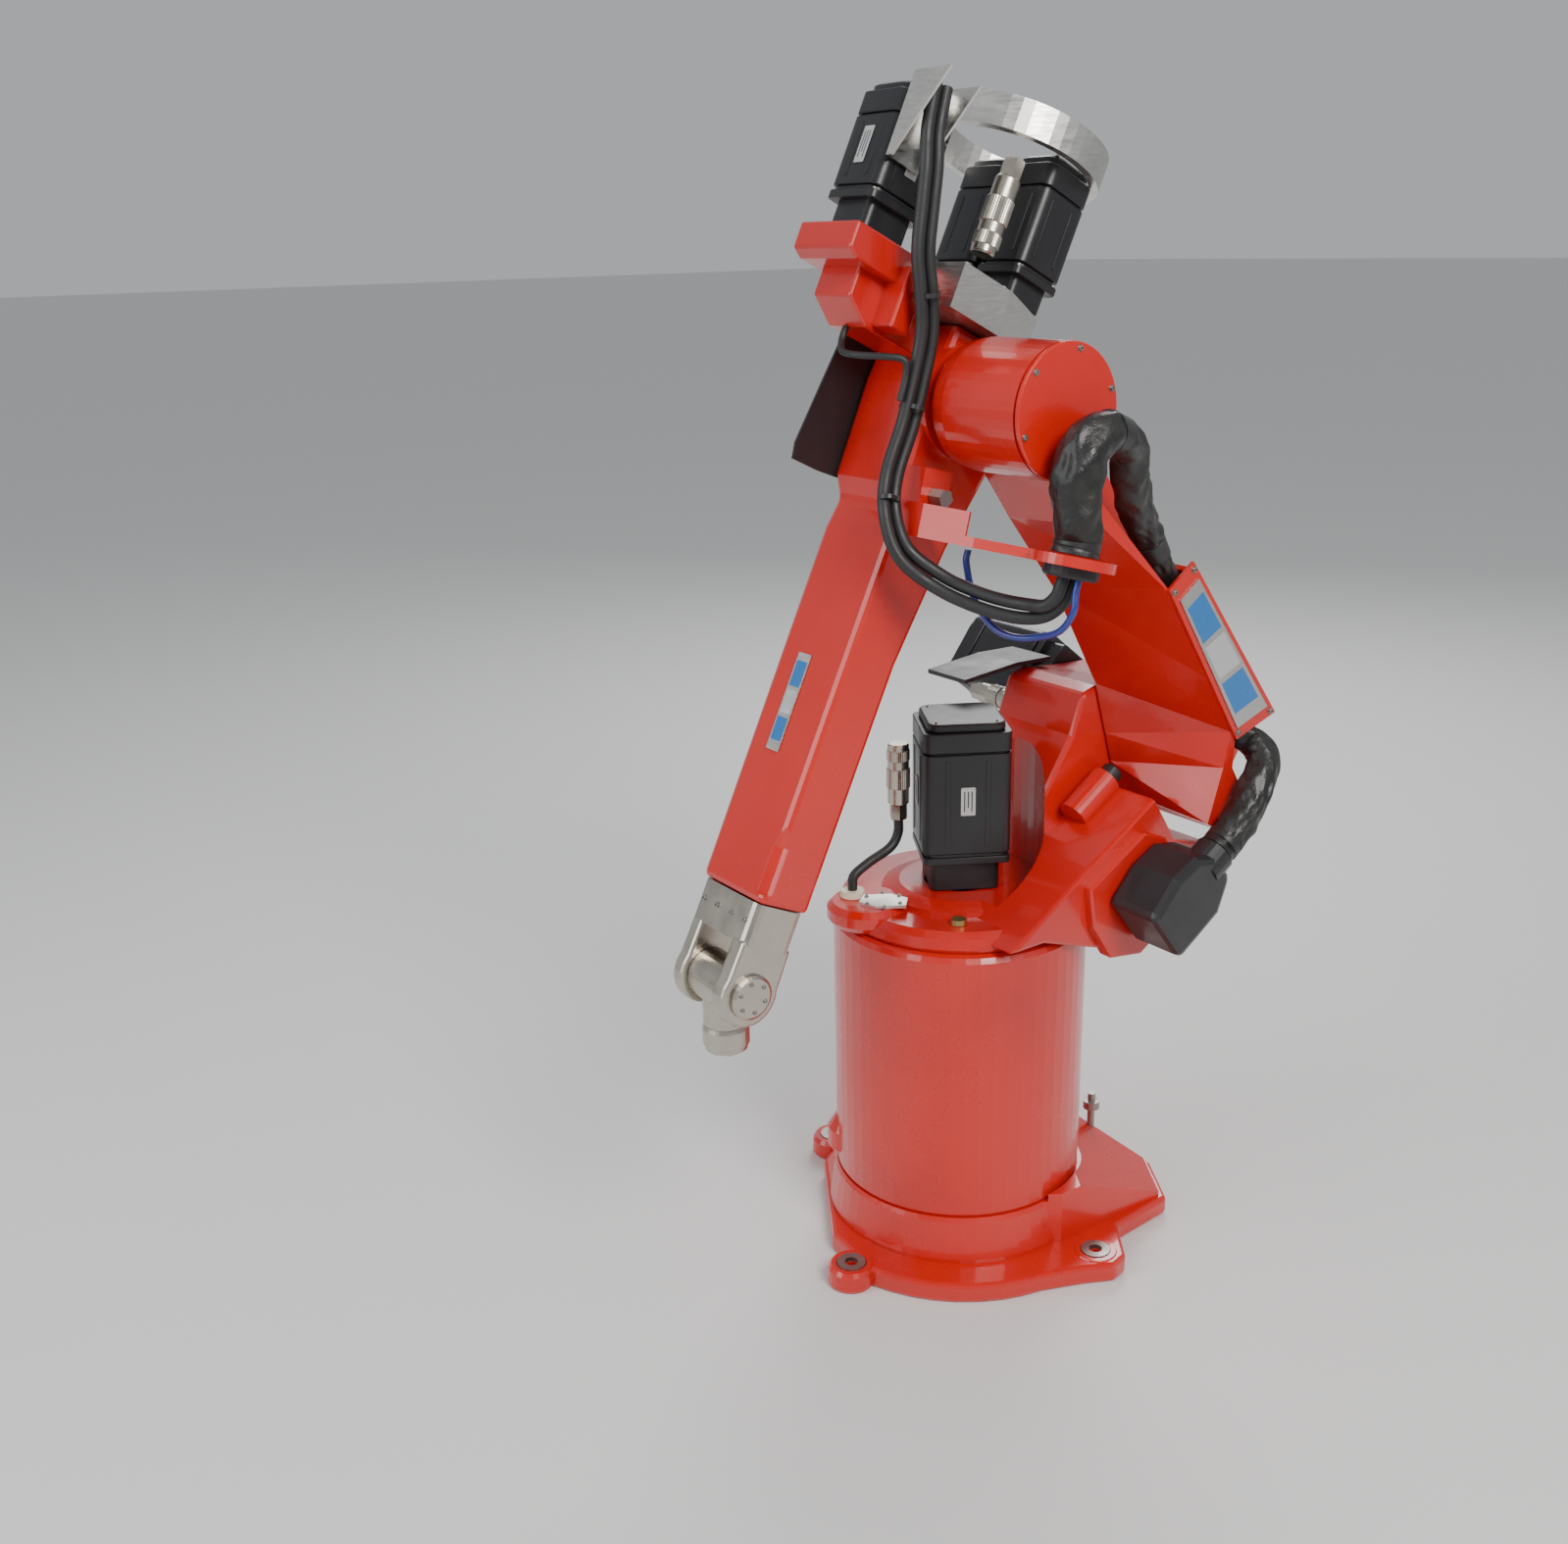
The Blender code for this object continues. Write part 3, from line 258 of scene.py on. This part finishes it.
def slab(maker, half_x, half_y, low, high, corner, place=FLOOR, edge=0.0008, steps=4):
    """A rounded block with softened rims, drawn along the frame's z axis."""
    def ring(inset, level):
        outline = rounded(half_x - inset, half_y - inset, max(corner - inset, 1e-4), steps)
        return [(x, y, level) for x, y in outline]
    skin(maker, [ring(edge, low), ring(0, low + edge), ring(0, high - edge), ring(edge, high)], place=place)


def cap_screw(maker, place, size):
    """A socket-head screw with a washer, standing on the frame's xy plane."""
    r = size
    turned(maker, [(r * 1.45, 0.0), (r * 1.45, r * 0.22), (r * 1.0, r * 0.24), (r * 1.0, r * 1.0),
                   (r * 0.88, r * 1.15), (r * 0.52, r * 1.15), (r * 0.5, r * 0.5)], place, 24)


def facing(spot, axis):
    """A frame at the spot whose z axis looks along the axis."""
    return Matrix.Translation(spot) @ Vector(axis).to_track_quat("Z", "Y").to_matrix().to_4x4()


def screws(name, body, frame, spots, axis, size, material=None):
    maker = bmesh.new()
    for spot in spots:
        cap_screw(maker, frame @ facing(spot, axis), size)
    return piece(name, maker, material or STEEL, body)


def smooth(points, steps):
    """A smooth curve through the points, with steps spans between neighbours."""
    points = [Vector(p) for p in points]
    ends = [2 * points[0] - points[1]] + points + [2 * points[-1] - points[-2]]
    route = []
    for a, b, c, d in zip(ends, ends[1:], ends[2:], ends[3:]):
        for i in range(steps):
            t = i / steps
            route.append(0.5 * ((2 * b) + (c - a) * t + (2 * a - 5 * b + 4 * c - d) * t * t
                                + (3 * b - a - 3 * c + d) * t ** 3))
    return route + [points[-1]]


def aside(route, by):
    moved = []
    for i, spot in enumerate(route):
        ahead = route[min(i + 1, len(route) - 1)] - route[max(i - 1, 0)]
        moved.append(spot + Vector((-ahead.z, 0.0, ahead.x)).normalized() * by)
    return moved


def hose(name, route, radius, material, body, node, place=FLOOR, sides=16):
    """A round cable swept along its route without twist."""
    maker = bmesh.new()
    across = None
    rings = []
    for i, spot in enumerate(route):
        ahead = (route[min(i + 1, len(route) - 1)] - route[max(i - 1, 0)]).normalized()
        if across is None:
            across = ahead.orthogonal()
        across = (across - ahead * across.dot(ahead)).normalized()
        other = ahead.cross(across)
        rings.append([spot + radius * (across * math.cos(2 * math.pi * k / sides)
                                       + other * math.sin(2 * math.pi * k / sides)) for k in range(sides)])
    skin(maker, rings, place=place)
    made = piece(name, maker, material, body, 60.0)
    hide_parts(node)
    return made


# ------------------------------------------------------------ motors
def motor(node, body, place, half, length, neck, neck_half):
    """A servo: neck, mounting flange, chamfered body with low ribs, stepped end cap and screws."""
    maker = bmesh.new()
    slab(maker, neck_half, neck_half, 0.0008, neck + 0.003, 0.010, place, 0.001)
    slab(maker, half * 0.99, half * 0.99, neck - 0.001, neck + 0.009, 0.009, place, 0.001)
    flange = neck + 0.0085
    cap = length - 0.030
    for low, high, inset in ((flange, flange + 0.006, 0.0035), (flange + 0.006, cap, 0.0),
                             (cap, cap + 0.003, 0.003), (cap + 0.003, length, 0.0)):
        slab(maker, half - inset, half - inset, low, high, 0.014, place, 0.0012)
    slab(maker, half * 0.88, half * 0.88, length - 0.001, length + 0.0115, 0.016, place, 0.003)
    for side in range(4):
        turn = Matrix.Rotation(math.pi / 2 * side, 4, "Z")
        for y in (-0.45, 0.45):
            spot = Matrix.Translation((half - 0.0002, half * y, (flange + cap) / 2 + 0.004))
            rib = turn @ spot @ Matrix.Rotation(math.pi / 2, 4, "Y")
            slab(maker, (cap - flange) / 2 - 0.012, 0.0035, -0.0005, 0.0011, 0.003, place @ rib, 0.0005)
    made = piece(node + "_body", maker, MOTOR, body)
    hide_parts(node)
    maker = bmesh.new()
    for sx in (-1, 1):
        for sy in (-1, 1):
            spot = (sx * (half * 0.82), sy * (half * 0.82), neck + 0.009)
            cap_screw(maker, place @ Matrix.Translation(spot), 0.0028)
            spot = (sx * half * 0.68, sy * half * 0.68, length + 0.0112)
            cap_screw(maker, place @ Matrix.Translation(spot), 0.0022)
    piece(node + "_screws", maker, STEEL, body)
    return made


def strip(name, body, place, half_x, half_y, marks=3):
    """A blank type strip with plain bars and no lettering."""
    maker = bmesh.new()
    slab(maker, half_x, half_y, 0.0, 0.0006, 0.0015, place, 0.0002)
    piece(name, maker, LABEL, body)
    maker = bmesh.new()
    for i in range(marks):
        y = half_y * (0.5 - i * 1.0 / max(marks - 1, 1))
        bar = place @ Matrix.Translation((-half_x * 0.15 * (i % 2), y, 0.0006))
        slab(maker, half_x * (0.72 - 0.14 * (i % 2)), half_y * 0.08, 0.0, 0.00015, 0.0003, bar, 0.00005)
    piece(name + "_bars", maker, CAST_BLACK, body)


def side_of(place, face, half, z):
    """A frame on one flat side of a motor; face counts quarter turns from its own x axis."""
    return (place @ Matrix.Rotation(math.pi / 2 * face, 4, "Z") @ Matrix.Translation((half, 0.0, z))
            @ Matrix.Rotation(math.pi / 2, 4, "Y"))


A1 = Matrix.Translation((0, 0, 0.5424)) @ Matrix.Rotation(math.radians(58), 4, "Z")
A2_PLACE = (Matrix.Translation((-0.272, -0.0705, 0.765)) @ Matrix.Rotation(math.radians(90), 4, "X")
            @ Matrix.Rotation(math.radians(38), 4, "Z"))
motor("a1_motor", "column", A1, 0.061, 0.230, 0.044, 0.048)
motor("a2_motor", "column", A2_PLACE, 0.054, 0.190, 0.030, 0.044)
A4 = FOREARM @ Matrix.Translation((0.169, -0.006, 0.1284))
motor("a4_motor", "forearm", A4, 0.044, 0.162, 0.034, 0.034)
for name, y in (("a5_motor", 0.0445), ("a6_motor", -0.0445)):
    motor(name, "forearm", FOREARM @ Matrix.Translation((-0.032, y, 0.1344)), 0.039, 0.1668, 0.030, 0.030)
for face in range(4):
    strip(f"a1_type_strip_{face}", "column", side_of(A1, face, 0.0618, 0.135), 0.020, 0.010)
strip("a4_type_strip", "forearm", side_of(A4, 0, 0.0448, 0.095), 0.022, 0.009)
strip("a4_type_strip_left", "forearm", side_of(A4, 1, 0.0448, 0.095), 0.022, 0.009)
strip("a2_type_strip", "column", side_of(A2_PLACE, 1, 0.0548, 0.105), 0.022, 0.010)

# ------------------------------------------------------------ boots
def boot(node, points, girth, bands, seed):
    """A loose leather sleeve with folds across it, drawn in under the straps that tie it."""
    route = smooth(points, 14)
    widths = smooth([(a, b, 0.0) for a, b in girth], 14)
    total = len(route) - 1
    sides = 72
    rings = []
    travelled = 0.0
    for i, spot in enumerate(route):
        if i:
            travelled += (spot - route[i - 1]).length
        ahead = (route[min(i + 1, total)] - route[max(i - 1, 0)]).normalized()
        wide = (Vector((0, 1, 0)) - ahead * ahead.y).normalized()
        across = ahead.cross(wide)
        fade = min(1.0, i / 6.0, (total - i) / 6.0)
        tied = min([1.0] + [abs(i / total - b) / 0.035 for b in bands])
        ring = []
        for k in range(sides):
            a = 2 * math.pi * k / sides
            fold = 0.0
            drift = math.sin(travelled * 31 + seed) + math.sin(travelled * 17 + a * 2 + seed)
            twist = 2.6 * math.sin(a * 2 + seed + drift)
            fold += 0.0011 * math.sin(travelled * 120 + twist + math.sin(a * 3 + seed * 3))
            fold += 0.0014 * math.sin(a * 3 + travelled * 24 + seed) * math.sin(travelled * 43 + a * 2)
            fold += 0.0008 * math.sin(a * 5 + travelled * 90 + drift * 1.4)
            fold += 0.0004 * math.sin(a * 9 - travelled * 210 + drift * 2.0)
            pull = 1.0 - 0.055 * (1.0 - tied)
            fold = fold * fade * tied - 0.0013 * fade
            ring.append(spot + across * (widths[i].x * pull + fold) * math.cos(a)
                        + wide * (widths[i].y * pull + fold) * math.sin(a))
        rings.append(ring)
    maker = bmesh.new()
    skin(maker, rings)
    made = piece(node + "_sleeve", maker, LEATHER, None, 80.0)
    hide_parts(node)
    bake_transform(made)
    for count, share in enumerate(bands):
        at = share * total
        loops = []
        for k in (-3.4, -3.2, 3.2, 3.4):
            low = min(max(int(at + k), 0), total - 1)
            mix = min(max(at + k - low, 0.0), 1.0)
            spot = route[low].lerp(route[low + 1], mix)
            size = widths[low].lerp(widths[low + 1], mix)
            ahead = (route[min(low + 2, total)] - route[max(low - 1, 0)]).normalized()
            wide = (Vector((0, 1, 0)) - ahead * ahead.y).normalized()
            across = ahead.cross(wide)
            lift = 0.0009 if abs(k) < 3.3 else -0.0012
            turns = [2 * math.pi * q / 48 for q in range(48)]
            loops.append([spot + across * (size.x * 0.95 + lift) * math.cos(turn)
                          + wide * (size.y * 0.95 + lift) * math.sin(turn) for turn in turns])
        maker = bmesh.new()
        skin(maker, loops)
        strap = piece(f"{node}_band_{count}", maker, BAND, None, 50.0)
        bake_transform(strap)


UPPER = [(0.1047, 0.286, 0.4886), (0.0898, 0.286, 0.5019), (0.074, 0.286, 0.530), (0.054, 0.286, 0.562),
         (0.024, 0.286, 0.582), (-0.010, 0.285, 0.574), (-0.032, 0.277, 0.534), (-0.034, 0.256, 0.484),
         (-0.040, 0.234, 0.424), (-0.053, 0.216, 0.356), (-0.056, 0.209, 0.296)]
UPPER_GIRTH = [(0.0285, 0.0285), (0.0285, 0.0285), (0.0285, 0.029), (0.031, 0.031), (0.030, 0.031),
               (0.025, 0.028), (0.022, 0.025), (0.022, 0.024), (0.0215, 0.024), (0.0195, 0.024),
               (0.019, 0.024)]
LOWER = [(0.0905, 0.267, -0.0524), (0.066, 0.267, -0.0526), (0.022, 0.271, -0.040), (-0.020, 0.268, -0.024),
         (-0.053, 0.256, -0.012), (-0.062, 0.232, 0.004), (-0.058, 0.213, 0.026), (-0.056, 0.209, 0.046)]
LOWER_GIRTH = [(0.026, 0.026), (0.026, 0.026), (0.0255, 0.026), (0.024, 0.025), (0.023, 0.023),
               (0.0205, 0.022), (0.0195, 0.023), (0.019, 0.024)]
upper = [ARM_FRAME @ Vector(p) for p in UPPER]
lower = [ARM_FRAME @ Vector(p) for p in LOWER]
boot("lower_boot", lower, LOWER_GIRTH, (0.10, 0.80), 1.3)
boot("upper_boot", upper, UPPER_GIRTH, (0.06, 0.52, 0.90), 4.1)

# ------------------------------------------------------------ cables
entry = BRACKET @ Vector((-0.049, 0.286, -0.181))
LEADS = [(0.190, 0.066, 0.300), (0.186, 0.074, 0.250), (0.175, 0.080, 0.210), (0.163, 0.082, 0.168),
         (0.148, 0.083, 0.122), (0.124, 0.084, 0.082), (0.104, 0.083, 0.045), (0.0925, 0.081, 0.000),
         (0.084, 0.081, -0.060), (0.083, 0.083, -0.120), (0.076, 0.094, -0.164), (0.052, 0.114, -0.204),
         (0.010, 0.146, -0.222), (-0.020, 0.190, -0.228), (-0.042, 0.232, -0.226), (-0.052, 0.264, -0.218),
         (-0.0525, 0.281, -0.202), (entry.x - 0.001, entry.y, -0.186), tuple(entry)]
line = smooth(LEADS, 3)
hose("lead_front", smooth(aside(line, 0.0084), 3), 0.0078, RUBBER, "forearm", "motor_lead_front", FOREARM)
hose("lead_rear", smooth(aside(line, -0.0084), 3), 0.0078, RUBBER, "forearm", "motor_lead_rear", FOREARM)
LOOP = [(-0.012, 0.150, -0.1735), (-0.016, 0.151, -0.190), (-0.040, 0.160, -0.226), (-0.060, 0.186, -0.250),
        (-0.070, 0.216, -0.254), (-0.074, 0.250, -0.246), (-0.068, 0.284, -0.234), (-0.058, 0.303, -0.212),
        (-0.052, 0.302, -0.190), (entry.x, entry.y + 0.0155, entry.z)]
hose("air_line", smooth(LOOP, 8), 0.0042, HOSE, "forearm", "air_hose", FOREARM)
LINK = [(0.150, -0.010, 0.0295), (0.152, -0.006, 0.010), (0.158, 0.012, -0.004), (0.156, 0.040, -0.006),
        (0.140, 0.066, 0.000), (0.122, 0.082, 0.004), (0.1120, 0.0825, -0.012), (0.108, 0.0825, -0.040)]
hose("a4_cable", smooth(LINK, 8), 0.0042, RUBBER, "forearm", "a4_lead", FOREARM)
PIGTAIL = [(0.071, -0.050, 0.6335), (0.072, -0.050, 0.612), (0.086, -0.050, 0.594), (0.122, -0.052, 0.580),
           (0.147, -0.054, 0.566), (0.150, -0.054, 0.5515), (0.150, -0.054, 0.5465)]
hose("a1_cable", smooth(PIGTAIL, 8), 0.0068, RUBBER, "column", "a1_motor_cable")


def tie(name, spot, ahead, half_x, half_y):
    """A cable tie: a flat loop with a small lock."""
    place = FOREARM @ facing(spot, ahead)
    maker = bmesh.new()
    outer = rounded(half_x, half_y, 0.0082, 6)
    inner = rounded(half_x - 0.0012, half_y - 0.0012, 0.0072, 6)
    width = 0.0025
    section = ((outer, -width), (outer, width), (inner, width), (inner, -width))
    skin(maker, [[(x, y, z) for x, y in loop] for loop, z in section], True, place)
    lock = place @ Matrix.Translation((0.0, half_y + 0.0012, 0.0))
    slab(maker, 0.0035, 0.0022, -0.0034, 0.0034, 0.0008, lock, 0.0004)
    piece(name, maker, BAND, "forearm")


for number, index in enumerate((15, 23, 29)):
    tie(f"cable_tie_{number}", line[index], line[index + 1] - line[index - 1], 0.0185, 0.0096)

# ------------------------------------------------------------ connectors
def knurled(maker, place, radius, low, high, count=36, depth=0.0007):
    rings = []
    for level, inset in ((low, 0.0008), (low + 0.0008, 0.0), (high - 0.0008, 0.0), (high, 0.0008)):
        rings.append([((radius - inset - (depth if k % 2 else 0)) * math.cos(math.pi * k / count),
                       (radius - inset - (depth if k % 2 else 0)) * math.sin(math.pi * k / count), level)
                      for k in range(2 * count)])
    skin(maker, rings, place=place)


def plug(node, body, place, radius, length):
    """A round industrial connector: hex back nut, knurled coupling ring and a stepped shell."""
    maker = bmesh.new()
    r = radius
    turned(maker, [(r * 0.70, 0.0), (r * 0.78, 0.003), (r * 0.78, length * 0.2)], place, 6)
    turned(maker, [(r * 0.66, length * 0.18), (r * 0.90, length * 0.22), (r * 0.90, length * 0.98),
                   (r * 0.80, length)], place, 48)
    knurled(maker, place, r, length * 0.42, length * 0.68)
    knurled(maker, place, r * 0.97, length * 0.78, length * 0.92)
    made = piece(node + "_shell", maker, NICKEL, body, 25.0)
    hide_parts(node)


plug("a1_connector", "column", Matrix.Translation((0.071, -0.050, 0.634)), 0.0165, 0.110)
plug("a2_connector", "column", facing((-0.172, -0.165, 0.752), (0, 1, 0)), 0.0165, 0.093)
plug("a5_connector", "forearm", FOREARM @ facing((0.046, 0.060, 0.284), (0, 0, -1)), 0.0175, 0.118)


# ------------------------------------------------------------ badges
def badge(node, body, frame, corners, level, axis, inset):
    """A plain plate with a coloured field and a pale band, kept inside its own rim."""
    a, b = corners[0], corners[1]
    c, d = corners[2], corners[3]

    def at(u, v, lift):
        low = Vector(a).lerp(Vector(d), u)
        high = Vector(b).lerp(Vector(c), u)
        spot = low.lerp(high, v)
        return (spot.x, level + lift, spot.y) if axis == "y" else (level + lift, spot.x, spot.y)

    u0, u1, lift = inset, 1 - inset, 0.0003
    for name, material, v0, v1 in (("field", BLUE, 0.10, 0.34), ("band", SILVER, 0.38, 0.62),
                                   ("block", BLUE, 0.66, 0.92)):
        maker = bmesh.new()
        rings = []
        for height in (0.0, lift):
            rings.append([at(u0, v0, height), at(u1, v0, height), at(u1, v1, height), at(u0, v1, height)])
        skin(maker, rings, place=frame)
        piece(f"{node}_{name}", maker, material, body)


badge("lower_arm_badge", "lower_arm", ARM_FRAME,
      ((-0.101, 0.036), (-0.078, 0.286), (-0.038, 0.284), (-0.041, 0.052)),
      0.2475, "y", 0.10)
badge("forearm_badge", "forearm", FOREARM,
      ((-0.025, -0.480), (-0.025, -0.352), (0.001, -0.352), (0.001, -0.480)),
      0.0422, "x", 0.10)

# ------------------------------------------------------------ fasteners
def ring_spots(radius, count, z, first=0.0):
    turns = [math.radians(first + 360 * i / count) for i in range(count)]
    return [(radius * math.cos(turn), radius * math.sin(turn), z) for turn in turns]


screws("elbow_screws", "lower_arm", ARM_FRAME @ Matrix.Translation((0, 0, 0.604)),
       [(x, 0.2455, y) for x, y, _ in ring_spots(0.0715, 6, 0.0, 15.0)], (0, 1, 0), 0.0028)
screws("channel_screws", "lower_arm", ARM_FRAME,
       [(-0.104, 0.245, 0.024), (-0.078, 0.245, 0.301), (-0.036, 0.245, 0.299),
        (-0.040, 0.245, 0.044)], (0, 1, 0), 0.0032)
screws("fork_screws", "wrist", WRIST_FRAME,
       [(0.038, y, 0.092) for y in (-0.046, -0.016, 0.016, 0.046)], (1, 0, 0), 0.0030)
screws("wrist_cover_screws", "wrist", WRIST_FRAME @ facing((0, 0.067, 0), (0, 1, 0)),
       ring_spots(0.020, 6, 0.0), (0, 0, 1), 0.0022)
screws("gear_plate_screws", "forearm", FOREARM,
       [(0.086, 0.088, 0.134), (0.020, 0.088, 0.134), (-0.062, 0.056, 0.134), (0.086, -0.088, 0.134),
        (0.020, -0.088, 0.134), (-0.062, -0.056, 0.134), (0.050, 0.0, 0.134)], (0, 0, 1), 0.0038)
screws("inspection_screws", "column",
       Matrix.Translation((0.134, -0.006, 0.5415)) @ Matrix.Rotation(math.radians(-36), 4, "Z"),
       ring_spots(0.026, 6, 0.0, 30.0), (0, 0, 1), 0.0022)
screws("tool_flange_screws", "flange", HAND, ring_spots(0.0245, 8, -0.094, 22.5), (0, 0, -1), 0.0018)
screws("bracket_screws", "forearm", FOREARM @ BRACKET,
       [(x, 0.079, -0.165) for x in (0.034, 0.004)], (0, 0, 1), 0.0036)

# ------------------------------------------------------------ stage
def aim(name, spot, target, power, size, tint=(1.0, 1.0, 1.0)):
    lamp = bpy.data.lights.new(name, "AREA")
    lamp.energy = power
    lamp.size = size
    lamp.color = tint
    made = bpy.data.objects.new(name, lamp)
    bpy.context.scene.collection.objects.link(made)
    made.matrix_world = (Matrix.Translation(spot)
                         @ (Vector(target) - Vector(spot)).to_track_quat("-Z", "Y").to_matrix().to_4x4())
    return made


maker = bmesh.new()
bmesh.ops.create_grid(maker, x_segments=1, y_segments=1, size=60.0)
floor = piece("floor", maker, Shader("floor", (0.72, 0.72, 0.71), 0.72).rough(5.0, 0.66, 0.80).material, None)
lights = [aim("key", (0.6, 3.2, 3.4), (0.0, 0.0, 0.7), 140.0, 1.6, (1.0, 0.98, 0.95)),
          aim("fill", (3.4, -0.6, 2.2), (0.1, 0.0, 0.7), 60.0, 2.4, (0.95, 0.98, 1.0)),
          aim("rim", (-2.6, -2.2, 3.0), (0.0, 0.0, 0.9), 80.0, 1.6)]

world = bpy.data.worlds.new("studio")
world.use_nodes = True
world.node_tree.nodes["Background"].inputs["Color"].default_value = (0.88, 0.90, 0.93, 1.0)
world.node_tree.nodes["Background"].inputs["Strength"].default_value = 0.50
bpy.context.scene.world = world

lens = bpy.data.cameras.new("camera")
lens.sensor_fit = "HORIZONTAL"
lens.sensor_width = 36.0
lens.lens = 36.905
lens.shift_x = -0.0178
lens.shift_y = 0.0328
camera = bpy.data.objects.new("camera", lens)
bpy.context.scene.collection.objects.link(camera)
camera.matrix_world = Matrix(((-0.8045, -0.2198, 0.5518, 1.4086), (0.5936, -0.2650, 0.7599, 1.5863),
                              (-0.0208, 0.9389, 0.3437, 1.4013), (0, 0, 0, 1)))
bpy.context.scene.camera = camera
bpy.context.scene.render.resolution_x = 1599
bpy.context.scene.render.resolution_y = 1575
